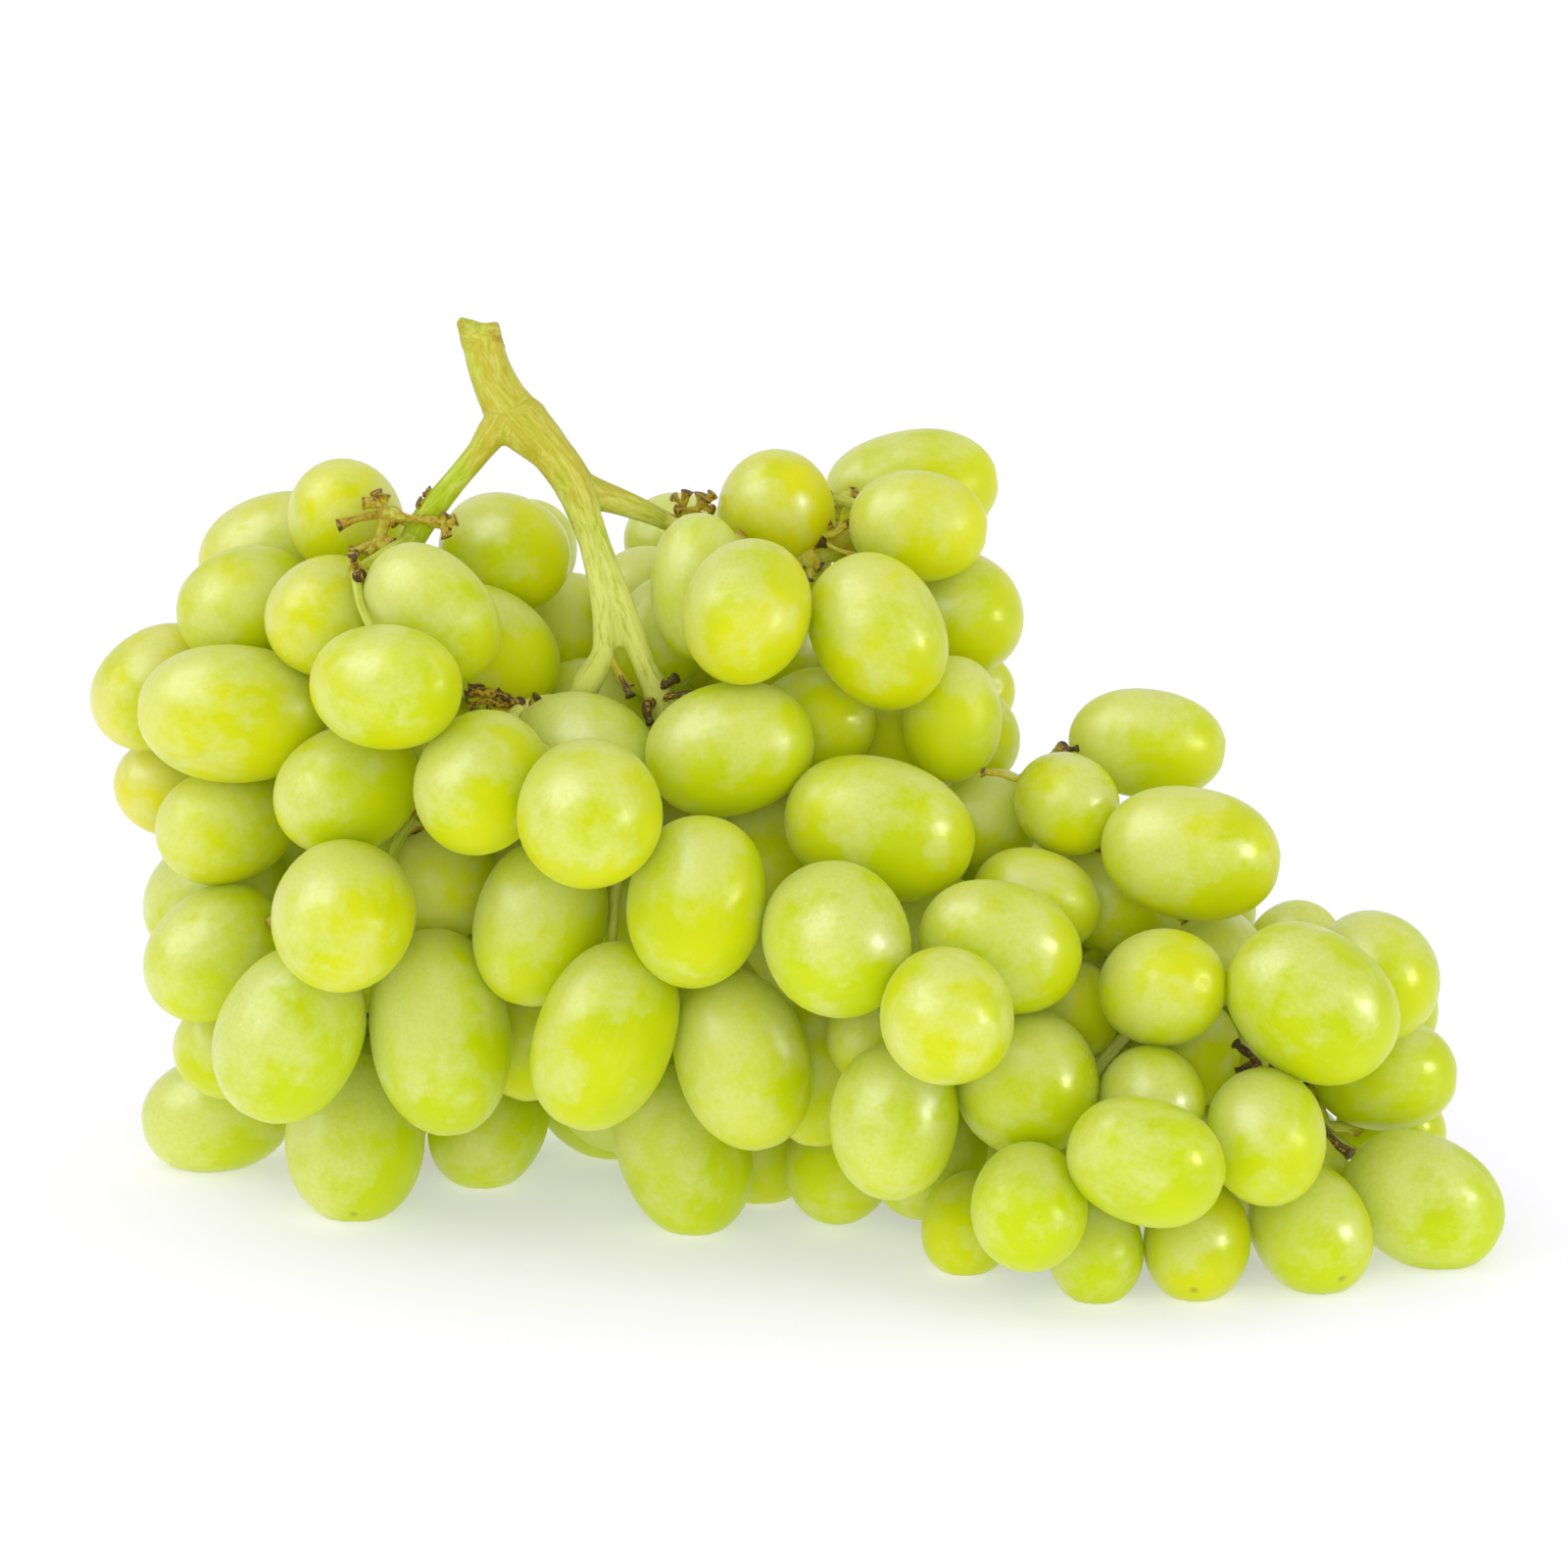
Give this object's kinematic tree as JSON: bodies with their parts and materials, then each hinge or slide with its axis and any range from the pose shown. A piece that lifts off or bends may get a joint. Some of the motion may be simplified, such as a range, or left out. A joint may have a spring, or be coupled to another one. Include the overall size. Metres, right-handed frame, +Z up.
{
  "type": "bunch of grapes",
  "caption": "Bunch of oval pale green table grapes on a branching woody-green stem, lying on its side.",
  "frame": {"origin": "on the surface that the bunch lies on, under the middle of its outer size", "axes": "+X runs from the shoulder end of the bunch to its tail, +Y from the front of the bunch to its back, +Z up"},
  "size_m": [0.2042, 0.1274, 0.1313],
  "materials": {
    "berry": "smooth translucent skin with a soft waxy bloom",
    "stem": "fibrous green-tan rind, dull, browned at the cut end and the twig tips"
  },
  "bodies": {
    "root": {"stem": "stem", "front_spray_01": "berry", "front_spray_02": "berry", "front_spray_03": "berry", "front_spray_04": "berry", "front_spray_05": "berry", "front_spray_06": "berry", "front_spray_07": "berry", "front_spray_08": "berry", "front_spray_09": "berry", "front_spray_10": "berry", "front_spray_11": "berry", "front_spray_12": "berry", "front_spray_13": "berry", "front_spray_14": "berry", "front_spray_15": "berry", "front_spray_16": "berry", "front_spray_17": "berry", "front_spray_18": "berry", "front_spray_19": "berry", "front_spray_20": "berry", "front_spray_21": "berry", "front_spray_22": "berry", "front_spray_23": "berry", "front_spray_24": "berry", "front_spray_25": "berry", "front_spray_26": "berry", "front_spray_27": "berry", "front_spray_28": "berry", "front_spray_29": "berry", "front_spray_30": "berry", "front_spray_31": "berry", "back_spray_01": "berry", "back_spray_02": "berry", "back_spray_03": "berry", "back_spray_04": "berry", "back_spray_05": "berry", "back_spray_06": "berry", "back_spray_07": "berry", "back_spray_08": "berry", "back_spray_09": "berry", "back_spray_10": "berry", "back_spray_11": "berry", "back_spray_12": "berry", "back_spray_13": "berry"}
  },
  "joints": []
}
